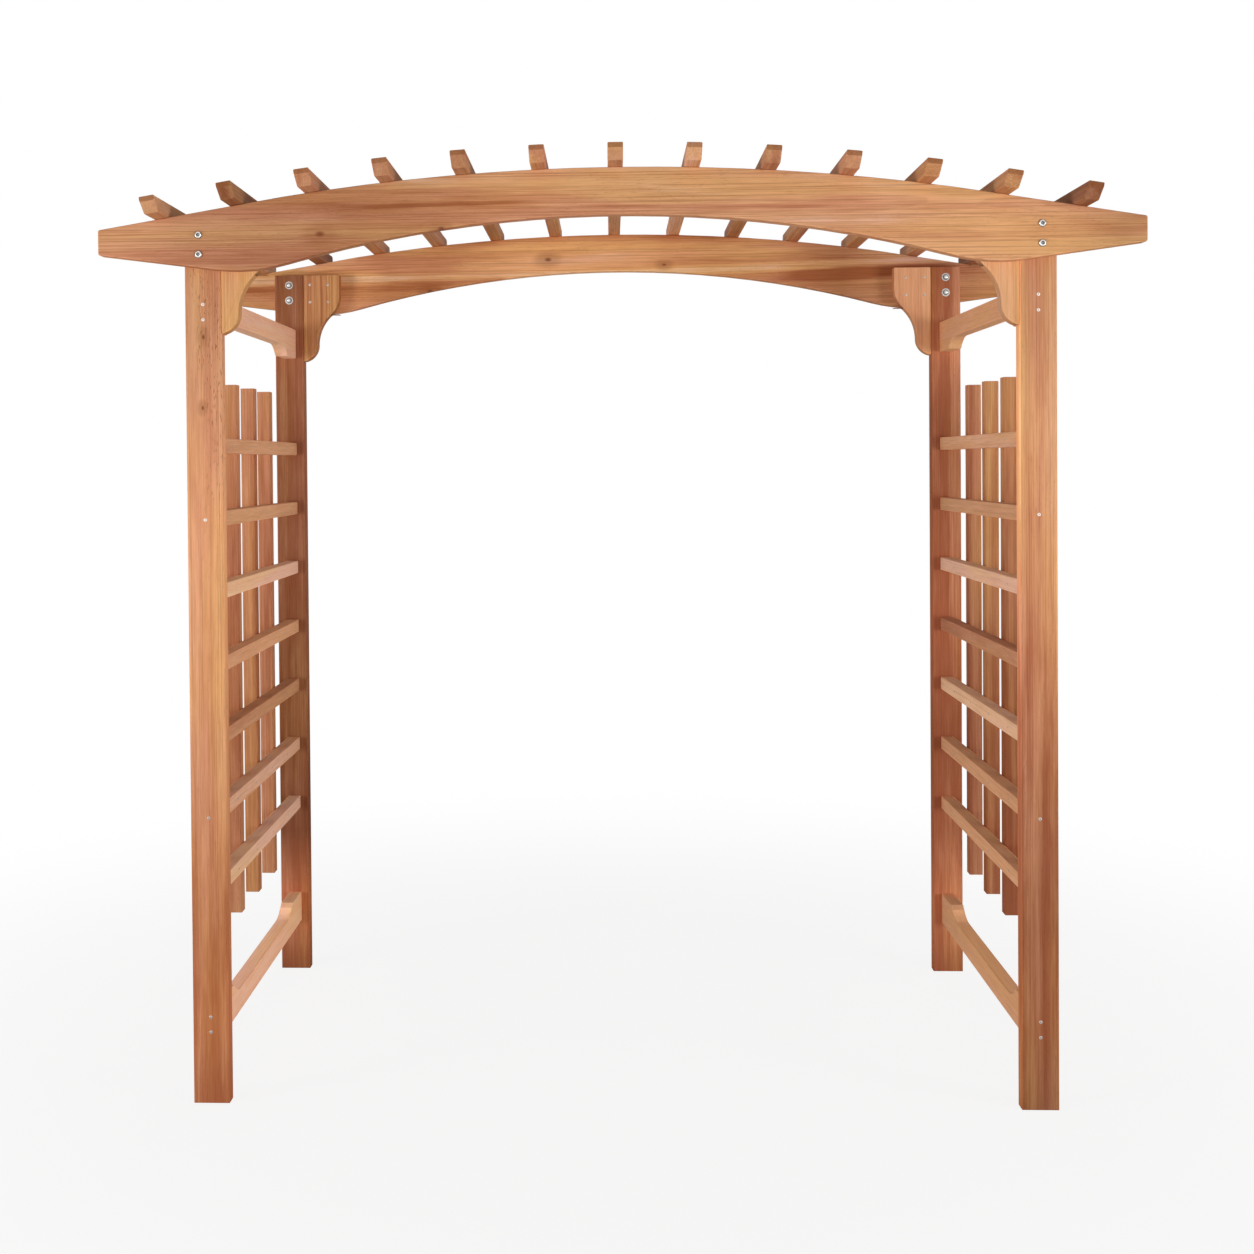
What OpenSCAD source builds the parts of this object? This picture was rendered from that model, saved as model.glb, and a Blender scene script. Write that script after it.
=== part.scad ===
// Cedar garden arbor: four posts, a pair of arched beams with a row of rafters
// over them, a bracket in each corner of the arch, and an open lattice between
// the two posts of each side. Millimetres, +Z up, -Y is the front. The origin
// is on the floor in the middle of the plan.

/* [Frame] */
// Width over the outer faces of the posts
frame_w = 2083; // [1700:1:2300]
// Depth over the outer faces of the posts
frame_d = 1080; // [900:1:1400]
// Height of the posts
post_h = 2134; // [1950:1:2400]
// Width of a post, seen from the front
post_w = 89; // [80:1:110]
// Thickness of a post, front to back
post_t = 38; // [30:1:60]

/* [Arched beams] */
// Length of a beam
beam_l = 2480; // [2440:1:2700]
// Thickness of a beam, front to back
beam_t = 38; // [25:1:60]
// Height of the top of the arch above the tops of the posts
crown_rise = 116; // [105:1:150]
// Depth of a beam at the top of the arch
crown_d = 112; // [90:1:130]
// Radius of the curved part of the top edge
top_r = 5400; // [4800:10:7000]
// Length of the curved part of the top edge, which runs on straight to each end
top_curve_l = 1780; // [1500:10:2000]
// Radius of the arch under a beam
arch_r = 3010; // [2800:10:3300]
// Depth of a beam at its cut ends
end_d = 60; // [50:1:80]
// Rounding of the two corners at each cut end of a beam
end_round = 5; // [3:1:15]
// Slope of the underside of a beam's tails, in degrees
tail_slope = 7.5; // [5:0.5:9]
// Radius that blends the arch into the underside of a tail
heel_r = 450; // [200:10:600]

/* [Rafters] */
// Number of rafters
rafter_n = 13; // [9:1:13]
// Distance from one rafter to the next
rafter_pitch = 181; // [120:1:200]
// Width of a rafter
rafter_w = 36; // [30:1:45]
// Height of a rafter
rafter_h = 38; // [30:1:50]
// Overhang of a rafter beyond the face of a beam
rafter_over = 102; // [60:1:200]
// Height of the upright cut at the top of a rafter's nose
nose_h = 12; // [6:1:20]
// Distance that the nose slopes back from the upright cut to the underside
nose_rake = 23; // [8:1:35]

/* [Corner brackets] */
// Width of a bracket at its top
bracket_w = 110; // [90:1:130]
// Width of a bracket just above its rounded foot
bracket_foot_w = 42; // [30:1:48]
// Height of the upright edge at the top of a bracket
bracket_edge_h = 62; // [50:1:80]
// Height of the double curve between the upright edge and the foot
bracket_curve_h = 152; // [140:1:220]
// Radius of the upper, outward part of the double curve
shoulder_r = 80; // [40:1:90]
// Radius of the rounded foot, more than its width
bracket_foot_r = 52; // [50:1:65]

/* [Side rails] */
// Thickness of a rail
rail_t = 38; // [25:1:45]
// Height of a rail at its ends
rail_h = 89; // [75:1:110]
// Depth of the relief along the middle of a rail
relief_d = 32; // [20:1:40]
// Length of the full-height part at each end of a rail
rail_land = 125; // [80:1:180]
// Length of the curve between the full height and the relief
relief_curve_l = 80; // [60:1:120]
// Distance from the top of a post down to the top of the upper rail
top_rail_drop = 167; // [150:1:220]
// Height of the underside of the lower rail above the floor
bottom_rail_lift = 148; // [100:1:200]

/* [Lattice] */
// Number of battens on a side
batten_n = 7; // [5:1:7]
// Size of a batten's square section
batten_s = 38; // [25:1:38]
// Height of the underside of the lowest batten above the floor
batten_lift = 496; // [450:1:540]
// Distance from one batten to the next
batten_pitch = 181; // [150:1:190]
// Number of pickets on a side
picket_n = 4; // [3:1:6]
// Size of a picket's square section
picket_s = 38; // [25:1:38]
// Length of a picket beyond the top and bottom battens
picket_over = 148; // [80:1:180]

/* [Bolts] */
// Diameter of a bolt's shank
bolt_d = 10; // [8:1:12]
// Clearance round the shank in its hole
bolt_gap = 0.3; // [0.2:0.1:0.8]
// Diameter of a bolt's head and of its cap nut
bolt_head_d = 18; // [16:1:24]
// Height of a bolt's head and of its cap nut
bolt_head_h = 4; // [3:0.5:6]
// Size of the hexagon socket in a head, across its corners
socket_d = 8; // [6:0.5:9]
// Depth of the hexagon socket
socket_depth = 2.5; // [1.5:0.5:2.5]
// Distance from the upper bolt to the top of its post, and from the lower to the underside of its beam
bolt_edge = 31; // [24:1:36]

/* [Hidden] */
cedar_post = [0.74, 0.48, 0.32];
cedar_beam = [0.78, 0.54, 0.37];
cedar_light = [0.84, 0.62, 0.42];
cedar_lattice = [0.72, 0.46, 0.30];
cedar_rafter = [0.70, 0.45, 0.28];
zinc = [0.80, 0.80, 0.80];

curve_fn = 720;
round_fn = 96;
hexagon = 6;

// Places that several pieces share.
post_x = (frame_w - post_w) / 2;
post_y = (frame_d - post_t) / 2;
inner_x = frame_w / 2 - post_w;
side_l = frame_d - 2 * post_t;
beam_y = (frame_d + beam_t) / 2;
crown_z = post_h + crown_rise;
rafter_l = frame_d + 2 * beam_t + 2 * rafter_over;
lattice_x = post_x - rail_t / 2;

// The top edge of a beam: an arc, then its tangent out to each end.
top_half = top_curve_l / 2;
top_end_slope = asin(top_half / top_r);
function top_slope(x) = abs(x) < top_half ? asin(abs(x) / top_r) : top_end_slope;
function arc_drop(x) = top_r - sqrt(top_r * top_r - x * x);
function top_z(x) = abs(x) < top_half
    ? crown_z - arc_drop(x)
    : crown_z - arc_drop(top_half) - (abs(x) - top_half) * tan(top_end_slope);

// The underside of a beam: an arch, blended by a heel into a straight tail.
arch_z = crown_z - crown_d - arch_r;
tail_m = tan(tail_slope);
tail_end_z = top_z(beam_l / 2) - end_d;
function tail_z(x) = tail_end_z - (beam_l / 2 - x) * tail_m;
heel_q = tail_z(0) + heel_r / cos(tail_slope) - arch_z;
heel_k = 1 + tail_m * tail_m;
heel_c = heel_q * heel_q - (arch_r + heel_r) * (arch_r + heel_r);
heel_x = (sqrt(tail_m * tail_m * heel_q * heel_q - heel_k * heel_c) - tail_m * heel_q) / heel_k;
heel_z = tail_z(heel_x) + heel_r / cos(tail_slope);
heel_share = arch_r / (arch_r + heel_r);
heel_arch_x = heel_x * heel_share;
heel_arch_z = arch_z + (heel_z - arch_z) * heel_share;
heel_tail_x = heel_x + heel_r * sin(tail_slope);
blank_z = tail_z(heel_arch_x) - heel_r;

// Centres of the rounded corners at a cut end.
corner_x = beam_l / 2 - end_round;
upper_z = top_z(corner_x) - end_round / cos(top_end_slope);
lower_z = tail_z(corner_x) + end_round / cos(tail_slope);

// The double curve of a bracket: two arcs that meet on a common tangent.
bracket_step = bracket_w - bracket_foot_w;
bracket_turn = 2 * atan(bracket_step / bracket_curve_h);
cove_r = bracket_curve_h / sin(bracket_turn) - shoulder_r;
shoulder_z = -bracket_edge_h;
inflexion_z = shoulder_z - shoulder_r * sin(bracket_turn);
cove_z = shoulder_z - bracket_curve_h;
bracket_foot_x = bracket_foot_w - bracket_foot_r;
bracket_foot_h = sqrt(bracket_foot_r * bracket_foot_r - bracket_foot_x * bracket_foot_x);
bracket_h = bracket_edge_h + bracket_curve_h + bracket_foot_h;

// The curve at each end of a rail's relief is an arc that starts level.
relief_r = (relief_curve_l * relief_curve_l + relief_d * relief_d) / (2 * relief_d);

// The lattice.
batten_y = side_l / 2;
batten_x = lattice_x + batten_s / 2;
picket_x = lattice_x + batten_s + picket_s / 2;
picket_z = batten_lift - picket_over;
picket_l = (batten_n - 1) * batten_pitch + batten_s + 2 * picket_over;
picket_gap = (side_l - picket_n * picket_s) / (picket_n + 1);

// The bolts go through a beam and the post behind it.
grip = beam_t + post_t;
bolt_x = post_x;
bolt_z = [post_h - bolt_edge, tail_z(bolt_x) + bolt_edge];

sides = ["left", "right"];
faces = ["front", "back"];
corners = [for (f = [0:1]) for (s = [0:1]) [s, f]];
function sign_of(i) = 2 * i - 1;
function corner_name(c) = str(faces[c[1]], "_", sides[c[0]]);
function rafter_name(i) = str("rafter_", i + 1);
function picket_name(s, i) = str("picket_", sides[s], "_", i + 1);

// Turns an outline drawn in X and Z into a board centred on y.
module board_across(y, thickness) {
    translate([0, y + thickness / 2, 0])
        rotate([90, 0, 0])
            linear_extrude(height = thickness) children();
}

// Turns an outline drawn in Y and Z into a board centred on x.
module board_along(x, thickness) {
    translate([x - thickness / 2, 0, 0])
        rotate([90, 0, 90])
            linear_extrude(height = thickness) children();
}

// The holes for both bolts of a joint, through the beam and the post.
module bolt_holes(x, y) {
    for (z = bolt_z)
        translate([x, y, z])
            rotate([90, 0, 0])
                cylinder(d = bolt_d + 2 * bolt_gap, h = 2 * grip, center = true, $fn = round_fn);
}

module post(c) {
    x = sign_of(c[0]) * post_x;
    y = sign_of(c[1]) * post_y;
    color(cedar_post)
        difference() {
            translate([x - post_w / 2, y - post_t / 2, 0])
                cube([post_w, post_t, post_h]);
            bolt_holes(sign_of(c[0]) * bolt_x, y);
        }
}

// What rounding takes from a corner: the fan of its outline, less a disc at the fan's apex.
module rounding(fan, r) {
    difference() {
        polygon(fan);
        translate(fan[0]) circle(r = r, $fn = curve_fn);
    }
}

// The board with its top edge cut: an arc that joins its own two tangents.
module beam_blank() {
    apex_z = top_z(top_half) + top_half * tan(top_end_slope);
    difference() {
        polygon([
            [-beam_l / 2, blank_z],
            [beam_l / 2, blank_z],
            [beam_l / 2, top_z(beam_l / 2)],
            [0, apex_z],
            [-beam_l / 2, top_z(beam_l / 2)]
        ]);
        rounding([
            [0, crown_z - top_r],
            [top_half, top_z(top_half)],
            [top_half, apex_z],
            [0, apex_z + top_half],
            [-top_half, apex_z],
            [-top_half, top_z(top_half)]
        ], top_r);
    }
}

// What is cut from one end: below the tail, past the heel and at both end corners.
module tail_cut() {
    polygon([
        [heel_arch_x, blank_z - heel_r],
        [beam_l, blank_z - heel_r],
        [beam_l, tail_z(beam_l)],
        [heel_arch_x, tail_z(heel_arch_x)]
    ]);
    rounding([
        [heel_x, heel_z],
        [heel_arch_x, heel_arch_z],
        [heel_arch_x, blank_z],
        [heel_tail_x, blank_z],
        [heel_tail_x, tail_z(heel_tail_x)]
    ], heel_r);
    rounding([
        [corner_x, upper_z],
        [beam_l, upper_z],
        [beam_l, crown_z],
        [corner_x + end_round * sin(top_end_slope), crown_z],
        [corner_x + end_round * sin(top_end_slope), upper_z + end_round * cos(top_end_slope)]
    ], end_round);
    rounding([
        [corner_x, lower_z],
        [corner_x + end_round * sin(tail_slope), lower_z - end_round * cos(tail_slope)],
        [corner_x + end_round * sin(tail_slope), blank_z],
        [beam_l, blank_z],
        [beam_l, lower_z]
    ], end_round);
}

module beam(f) {
    y = sign_of(f) * beam_y;
    color(cedar_beam)
        difference() {
            board_across(y, beam_t)
                difference() {
                    beam_blank();
                    translate([0, arch_z]) circle(r = arch_r, $fn = curve_fn);
                    for (m = [0, 1])
                        mirror([m, 0]) tail_cut();
                }
            for (s = [-1, 1])
                bolt_holes(s * bolt_x, y);
        }
}

// One end of a rafter, as seen from the side: a raked cut below an upright one.
function nose(s) = [
    [s * (rafter_l / 2 - nose_rake), 0],
    [s * rafter_l / 2, rafter_h - nose_h],
    [s * rafter_l / 2, rafter_h]
];

module rafter(i) {
    x = (i - (rafter_n - 1) / 2) * rafter_pitch;
    tilt = sign(x) * top_slope(x);
    right_end = nose(1);
    left_end = nose(-1);
    color(cedar_rafter)
        translate([x, 0, top_z(x)])
            rotate([0, tilt, 0])
                board_along(0, rafter_w)
                    polygon(concat(right_end, [left_end[2], left_end[1], left_end[0]]));
}

// Outline of a bracket: x away from the post, z down from its top.
module bracket_outline() {
    difference() {
        translate([0, -bracket_h]) square([bracket_w, bracket_h]);
        difference() {
            translate([bracket_w - shoulder_r, inflexion_z])
                square([2 * shoulder_r, shoulder_z - inflexion_z]);
            translate([bracket_w - shoulder_r, shoulder_z])
                circle(r = shoulder_r, $fn = curve_fn);
        }
        intersection() {
            translate([bracket_foot_w, cove_z])
                square([bracket_w, inflexion_z - cove_z]);
            translate([bracket_foot_w + cove_r, cove_z]) circle(r = cove_r, $fn = curve_fn);
        }
        difference() {
            translate([0, -2 * bracket_h]) square([2 * bracket_w, 2 * bracket_h + cove_z]);
            translate([bracket_foot_x, cove_z]) circle(r = bracket_foot_r, $fn = curve_fn);
        }
    }
}

module bracket(c) {
    color(cedar_light)
        mirror([1 - c[0], 0, 0])
            translate([inner_x, 0, post_h])
                mirror([1, 0, 0])
                    board_across(sign_of(c[1]) * post_y, post_t)
                        bracket_outline();
}

// Outline of a rail: y along it from its middle, z up from its relieved edge.
module rail_outline() {
    relief_l = side_l - 2 * rail_land;
    difference() {
        translate([-side_l / 2, 0]) square([side_l, rail_h]);
        translate([-relief_l / 2 + relief_curve_l, -relief_d])
            square([relief_l - 2 * relief_curve_l, 2 * relief_d]);
        for (m = [0, 1])
            mirror([m, 0])
                intersection() {
                    translate([relief_l / 2 - relief_curve_l, -relief_d])
                        square([relief_curve_l, 2 * relief_d]);
                    translate([relief_l / 2 - relief_curve_l, relief_d - relief_r])
                        circle(r = relief_r, $fn = curve_fn);
                }
    }
}

module top_rail(s) {
    color(cedar_lattice)
        translate([0, 0, post_h - top_rail_drop - rail_h])
            board_along(sign_of(s) * post_x, rail_t)
                rail_outline();
}

module bottom_rail(s) {
    color(cedar_lattice)
        translate([0, 0, bottom_rail_lift + rail_h])
            board_along(sign_of(s) * post_x, rail_t)
                mirror([0, 1]) rail_outline();
}

module battens(s) {
    color(cedar_lattice)
        for (i = [0:batten_n - 1])
            translate([
                sign_of(s) * batten_x - batten_s / 2,
                -batten_y,
                batten_lift + i * batten_pitch
            ])
                cube([batten_s, side_l, batten_s]);
}

module picket(s, i) {
    y = -side_l / 2 + picket_gap + i * (picket_s + picket_gap);
    color(cedar_lattice)
        translate([sign_of(s) * picket_x - picket_s / 2, y, picket_z])
            cube([picket_s, picket_s, picket_l]);
}

// A head or a cap nut, standing on z = 0, with a hexagon socket in its top.
module bolt_end() {
    difference() {
        cylinder(d = bolt_head_d, h = bolt_head_h, $fn = round_fn);
        translate([0, 0, bolt_head_h - socket_depth])
            cylinder(d = socket_d, h = 2 * socket_depth, $fn = hexagon);
    }
}

module bolts(c) {
    y = sign_of(c[1]) * frame_d / 2;
    out = sign_of(c[1]);
    color(zinc)
        for (z = bolt_z)
            translate([sign_of(c[0]) * bolt_x, y + out * (beam_t - post_t) / 2, z])
                rotate([90, 0, 0]) {
                    cylinder(d = bolt_d, h = grip, center = true, $fn = round_fn);
                    for (m = [0, 1])
                        mirror([0, 0, m])
                            translate([0, 0, grip / 2]) bolt_end();
                }
}

for (c = corners)
    post(c);
for (f = [0:1])
    beam(f);
for (i = [0:rafter_n - 1])
    rafter(i);
for (c = corners)
    bracket(c);
for (s = [0:1])
    top_rail(s);
for (s = [0:1])
    bottom_rail(s);
for (s = [0:1])
    battens(s);
for (s = [0:1])
    for (i = [0:picket_n - 1])
        picket(s, i);
for (c = corners)
    bolts(c);
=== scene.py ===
"""Looks of the cedar garden arbor: eased boards with cedar grain, bolts, screws and nails.

Metres, in the frame of the CAD part: +Z up, -Y is the front, and the origin is on the floor in the
middle of the plan.
"""

import math
import random
from collections import namedtuple

import bmesh
import bpy
from mathutils import Matrix, Vector


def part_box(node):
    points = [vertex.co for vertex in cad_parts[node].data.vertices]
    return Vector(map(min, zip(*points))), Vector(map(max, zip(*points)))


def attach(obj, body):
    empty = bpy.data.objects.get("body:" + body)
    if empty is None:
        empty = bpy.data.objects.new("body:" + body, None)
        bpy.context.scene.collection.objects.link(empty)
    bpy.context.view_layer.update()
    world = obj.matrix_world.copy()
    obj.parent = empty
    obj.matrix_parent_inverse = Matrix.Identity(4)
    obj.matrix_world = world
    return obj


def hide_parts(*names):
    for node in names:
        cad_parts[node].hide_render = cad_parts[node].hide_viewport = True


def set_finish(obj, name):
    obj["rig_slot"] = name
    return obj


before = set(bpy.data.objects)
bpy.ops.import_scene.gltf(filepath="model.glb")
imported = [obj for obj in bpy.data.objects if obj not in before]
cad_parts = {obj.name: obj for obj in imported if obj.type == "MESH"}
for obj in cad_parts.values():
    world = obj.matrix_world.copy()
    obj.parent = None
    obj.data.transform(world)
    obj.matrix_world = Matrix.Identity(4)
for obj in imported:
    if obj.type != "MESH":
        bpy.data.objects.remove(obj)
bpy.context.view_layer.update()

X, Y, Z = Vector((1, 0, 0)), Vector((0, 1, 0)), Vector((0, 0, 1))
SIDES = {"left": -1, "right": 1}
FACES = {"front": -1, "back": 1}
CORNERS = [f"{face}_{side}" for face in FACES for side in SIDES]

# A board of each kind: the direction of its grain, its finish's slot, how likely it is to be
# quarter-sawn, the radius of its eased edges, and how plainly its rings, lines and flecks show.
Kind = namedtuple("Kind", "grain slot quartered easing figure")
RAIL = Kind(Y, "cedar_rails", 0.5, 0.003, (0.05, 0.06, 0.04))
KINDS = {
    "post": Kind(Z, "cedar_posts", 0.5, 0.0055, (0.18, 0.26, 0.2)),
    "beam": Kind(X, "cedar_beams", 0.0, 0.003, (0.22, 0.3, 0.22)),
    "rafter": Kind(Y, "cedar_rafters", 0.6, 0.003, (0.18, 0.2, 0.15)),
    "bracket": Kind(Z, "cedar_brackets", 0.8, 0.003, (0.14, 0.16, 0.08)),
    "top_rail": RAIL,
    "bottom_rail": RAIL,
    "battens": Kind(Y, "cedar_lattice", 0.6, 0.003, (0.1, 0.12, 0.08)),
    "picket": Kind(Z, "cedar_lattice", 0.7, 0.003, (0.18, 0.2, 0.15)),
}

# Each board's tone at stops along it: the share of the way along the grain, its redness (0 golden,
# 1 red-brown), brightness and pinkness. The brightness is partly the wood's own and partly painted
# light and shade: posts darken towards their feet, under the beam and where rails shade them, and
# spans of posts, beams and rafters are made lighter or darker to stand in for the light that
# reaches them.
TONES = {
    "beam_front": [
        (0.02, 0.18, 1, 0.35), (0.08, 0.22, 0.87, 0.25), (0.14, 0.33, 0.83, 0.15),
        (0.22, 0.42, 0.8, 0.15), (0.3, 0.45, 0.84, 0.15), (0.38, 0.35, 0.98, 0.15),
        (0.46, 0.18, 1, 0.35), (0.54, 0.03, 0.96, 0.25), (0.7, 0.13, 1.02, 0.25),
        (0.86, 0.11, 1.08, 0.25), (0.92, 0.21, 1.05, 0.25), (0.98, 0.28, 0.82, 0.25),
    ],
    "beam_back": [
        (0.04, 0.3, 0.92, 0.0), (0.12, 0.05, 1.36, 0.0), (0.22, 0.33, 1.04, -0.3),
        (0.3, 0.38, 1.08, -0.5), (0.38, 0.28, 1.3, -0.5), (0.54, 0.28, 1.18, -0.3),
        (0.7, 0.35, 1.06, 0.0), (0.78, 0.6, 0.76, -0.3), (0.86, 0.3, 0.96, 0.2),
        (1.0, 0.4, 0.87, 0.0),
    ],
    "post_front_left": [
        (0.0, 0.9, 0.95, 0.0), (0.1, 0.85, 1.12, 0.0), (0.2, 0.87, 1.02, 0.0),
        (0.35, 0.55, 1.06, 0.0), (0.5, 0.4, 1.13, 0.2), (0.65, 0.28, 1.22, 0.4),
        (0.78, 0.33, 1.1, 0.2), (0.88, 0.38, 0.95, 0.2), (1.0, 0.44, 0.92, 0.1),
    ],
    "post_front_right": [
        (0.0, 0.62, 0.6, 0.0), (0.1, 0.8, 0.79, 0.0), (0.2, 0.88, 0.76, 0.0),
        (0.35, 0.82, 0.85, 0.0), (0.5, 0.68, 1.04, 0.0), (0.65, 0.36, 1.1, 0.1),
        (0.78, 0.22, 1.1, 0.4), (0.88, 0.25, 0.98, 0.3), (1.0, 0.3, 0.94, 0.2),
    ],
    "post_back_left": [
        (0.0, 0.88, 0.68, 0.0), (0.1, 0.85, 1.2, 0.0), (0.2, 0.9, 0.5, 0.0), (0.35, 0.8, 0.58, 0.0),
        (0.5, 0.74, 0.6, 0.3), (0.65, 0.7, 0.65, 0.5), (0.78, 0.7, 0.7, 0.2),
        (0.88, 0.66, 0.78, 0.2), (1.0, 0.8, 0.62, 0.0),
    ],
    "post_back_right": [
        (0.0, 0.82, 0.86, 0.0), (0.1, 0.65, 1.25, 0.0), (0.2, 0.76, 0.92, 0.0),
        (0.35, 0.86, 0.82, 0.0), (0.5, 0.8, 1.08, 0.0), (0.65, 0.78, 0.92, 0.0),
        (0.78, 0.78, 0.8, 0.0), (0.88, 0.66, 1.1, 0.2), (1.0, 0.74, 0.9, 0.0),
    ],
    "bracket_front_left": [(0.0, -0.05, 1.05, -0.2)],
    "bracket_front_right": [(0.0, -0.1, 1.08, -0.3)],
    "bracket_back_left": [(0.0, 0.2, 0.95, -0.4)],
    "bracket_back_right": [(0.0, 0.15, 1.08, 0.7)],
    "top_rail_left": [(0.0, -0.45, 1.22, 0.6)],
    "top_rail_right": [(0.0, -0.2, 1.1, 0.4)],
    "bottom_rail_left": [(0.0, -0.45, 1.36, 0.35)],
    "bottom_rail_right": [(0.0, -0.05, 1.05, 0.6)],
    "rafter_1": [(0.0, 0.0, 0.88, 0.3)],
    "rafter_2": [(0.0, 0.62, 0.62, 0.2)],
    "rafter_3": [(0.0, 0.34, 0.88, 0.4)],
    "rafter_4": [(0.0, 0.36, 0.8, 0.2)],
    "rafter_5": [(0.0, 0.3, 0.77, 0.1)],
    "rafter_6": [(0.0, 0.33, 0.95, 0.3)],
    "rafter_7": [(0.0, 0.0, 0.87, 0.3)],
    "rafter_8": [(0.0, -0.3, 1.02, 0.6)],
    "rafter_9": [(0.0, 0.52, 0.81, 0.0)],
    "rafter_10": [(0.0, 0.34, 0.9, 0.3)],
    "rafter_11": [(0.0, 0.43, 0.92, 0.0)],
    "rafter_12": [(0.0, 0.4, 0.87, 0.2)],
    "rafter_13": [(0.0, 0.65, 0.59, 0.1)],
}
PICKET_TONES = {
    "left": [(0.0, 0.6, 0.83, 0.0), (0.5, 0.6, 0.9, 0.0), (1.0, 0.5, 1.0, 0.2)],
    "right": [
        (0.0, 0.9, 0.78, 0.0), (0.3, 0.9, 0.73, 0.0), (0.6, 0.65, 0.8, 0.0), (1.0, 0.42, 0.92, 0.1),
    ],
}
# The battens of each side from the lowest up, each of one redness, brightness and pinkness.
BATTEN_TONES = {
    "left": [
        (-0.65, 1.17, 0.1), (-0.3, 1.1, 0.5), (0.3, 0.94, 0.6), (0.05, 1.12, 0.7),
        (-0.65, 1.3, 0.25), (0.05, 1.06, 0.8), (0.05, 1.06, 0.8),
    ],
    "right": [
        (-0.1, 1.07, 0.5), (0.0, 1.03, 0.7), (-0.65, 1.2, 0.4), (0.45, 0.93, 0.6), (-0.6, 1.2, 0.2),
        (-0.05, 0.98, 0.6), (-0.1, 1.07, 0.5),
    ],
}
SAWN = {"post_front_left": "flat", "post_front_right": "quarter"}
# Boards whose rings, lines and flecks differ from their kind's: the share of the way along, and
# the strength of each.
FIGURES = {
    "post_front_left": [(0.65, 0.14, 0.26, 0.12), (0.78, 0.14, 0.2, 0.75)],
    "bracket_back_left": [(0.0, 0.35, 0.5, 0.1)],
    "bracket_back_right": [(0.0, 0.05, 0.1, 0.05)],
}

# Knots that show: x, z and radius.
KNOTS = {
    "beam_front": [(-0.704, 2.101, 0.0065), (-0.414, 2.11, 0.0045)],
    "beam_back": [(-0.203, 2.176, 0.006), (-0.568, 2.084, 0.005), (0.152, 2.156, 0.004)],
    "post_front_left": [(-0.997, 1.862, 0.0035), (-1.0, 1.691, 0.003)],
}
# Bands along a beam: x and z where each starts and ends, half its width, and how much redder it is
# than the wood round it, or paler where that is below 0.
BANDS = {
    "beam_front": [
        ((-1.02, 2.16), (-0.12, 2.18), 0.011, 0.22),
        ((-0.6, 2.162), (-0.2, 2.17), 0.004, 0.4),
        ((-0.05, 2.158), (0.45, 2.152), 0.004, 0.4),
        ((0.25, 2.19), (0.95, 2.18), 0.006, 0.25),
        ((-1.1, 2.067), (-0.8, 2.063), 0.003, 0.25),
        ((0.3, 2.13), (1.0, 2.11), 0.02, -0.25),
        ((-0.6, 2.21), (-0.2, 2.245), 0.016, -0.4),
        ((-0.1, 2.246), (0.55, 2.22), 0.014, -0.3),
        ((0.5, 2.22), (1.2, 2.115), 0.018, -0.3),
    ],
    "beam_back": [
        ((0.05, 2.24), (0.6, 2.235), 0.012, 0.3),
        ((-1.2, 2.122), (-0.7, 2.122), 0.014, -0.9),
        ((-0.8, 2.121), (0.1, 2.136), 0.01, -0.8),
        ((0.1, 2.136), (1.0, 2.16), 0.011, -0.8),
        ((-1.2, 2.095), (-0.85, 2.095), 0.012, 0.4),
        ((0.52, 2.118), (1.0, 2.136), 0.018, 0.8),
        ((-0.8, 2.09), (-0.5, 2.1), 0.012, 0.3),
        ((-0.55, 2.212), (-0.35, 2.232), 0.012, 0.3),
        ((-1.05, 2.15), (-0.82, 2.18), 0.016, -0.6),
        ((-0.45, 2.155), (0.05, 2.18), 0.02, -0.6),
        ((0.75, 2.19), (1.05, 2.15), 0.014, -0.3),
    ],
}
# How far to either side of its ends a band fades, and the shares of its half width between which it
# fades across.
BAND_FADE = 0.12
BAND_OUTER_SHARE = 1.6
BAND_INNER_SHARE = 0.3

# Easing: the steps of a rounded edge, and the share of the rounding that an end cut gets.
EASING_STEPS = 3
END_EASING_SHARE = 0.3
# A face that is narrower than this is a step of an eased edge.
WORN_WIDTH = 0.004
# Points nearer than this are one point.
WELD = 1e-5
FLAT_ANGLE = math.radians(1)
SHARP_ANGLE = math.radians(25)
# Cosines between a face's normal and an axis: above the first it is an end cut, and below the
# second it lies along the axis. End grain starts to show at the third.
END_COSINE = 0.9
SIDE_COSINE = 0.1
END_GRAIN_FROM = 0.75
# Areas and levels are compared to this many digits, so that equal ones stay equal.
AREA_DIGITS = 7
LEVEL_DIGITS = 5
FACE_WEIGHT = 100

# The curved edges of beams and brackets are sawn, and are darker than planed faces: partly the sawn
# wood's own colour and partly painted shade.
SAWN_AND_SHADED_EDGE = {"beam": 0.25, "bracket": 0.5}
# The relieved edge of a bottom rail faces up and lies this far below its lands, and is made paler
# with painted light from above.
RELIEF_BELOW_LAND = 0.01
RELIEF_COSINE = 0.3
PAINTED_LIGHT_ON_RELIEF = 0.6
# The side of a front post that faces the middle gets a painted highlight: the faces whose normal's
# x, times their own x, is below minus this.
INNER_EDGE_TURN = 0.4
PAINTED_HIGHLIGHT_ON_INNER_EDGES = {"post_front_left": 0.3, "post_front_right": 1.0}

# Where a board was sawn: its place along the log, and how far off the pith is either way.
LOG_STARTS = (0, 60)
PITH_FAR = (0.05, 0.11)
PITH_NEAR = (-0.03, 0.03)
PICKET_REDNESS_SPREAD = (-0.05, 0.05)
# Draws that nothing reads. They keep the draws after them, and so each board's grain, as they are.
SPARE_DRAWS = 3


# ---------------------------------------------------------------- shader helpers

SRGB_OFFSET = 0.055
SRGB_POWER = 2.4
BYTE = 255
# The sockets of a Mix node that mixes colours: its factor, both colours, and its result.
MIX_FACTOR, MIX_FIRST, MIX_SECOND, MIX_RESULT = 0, 6, 7, 2
MIDDLE_OF_NOISE = 0.5

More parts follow.
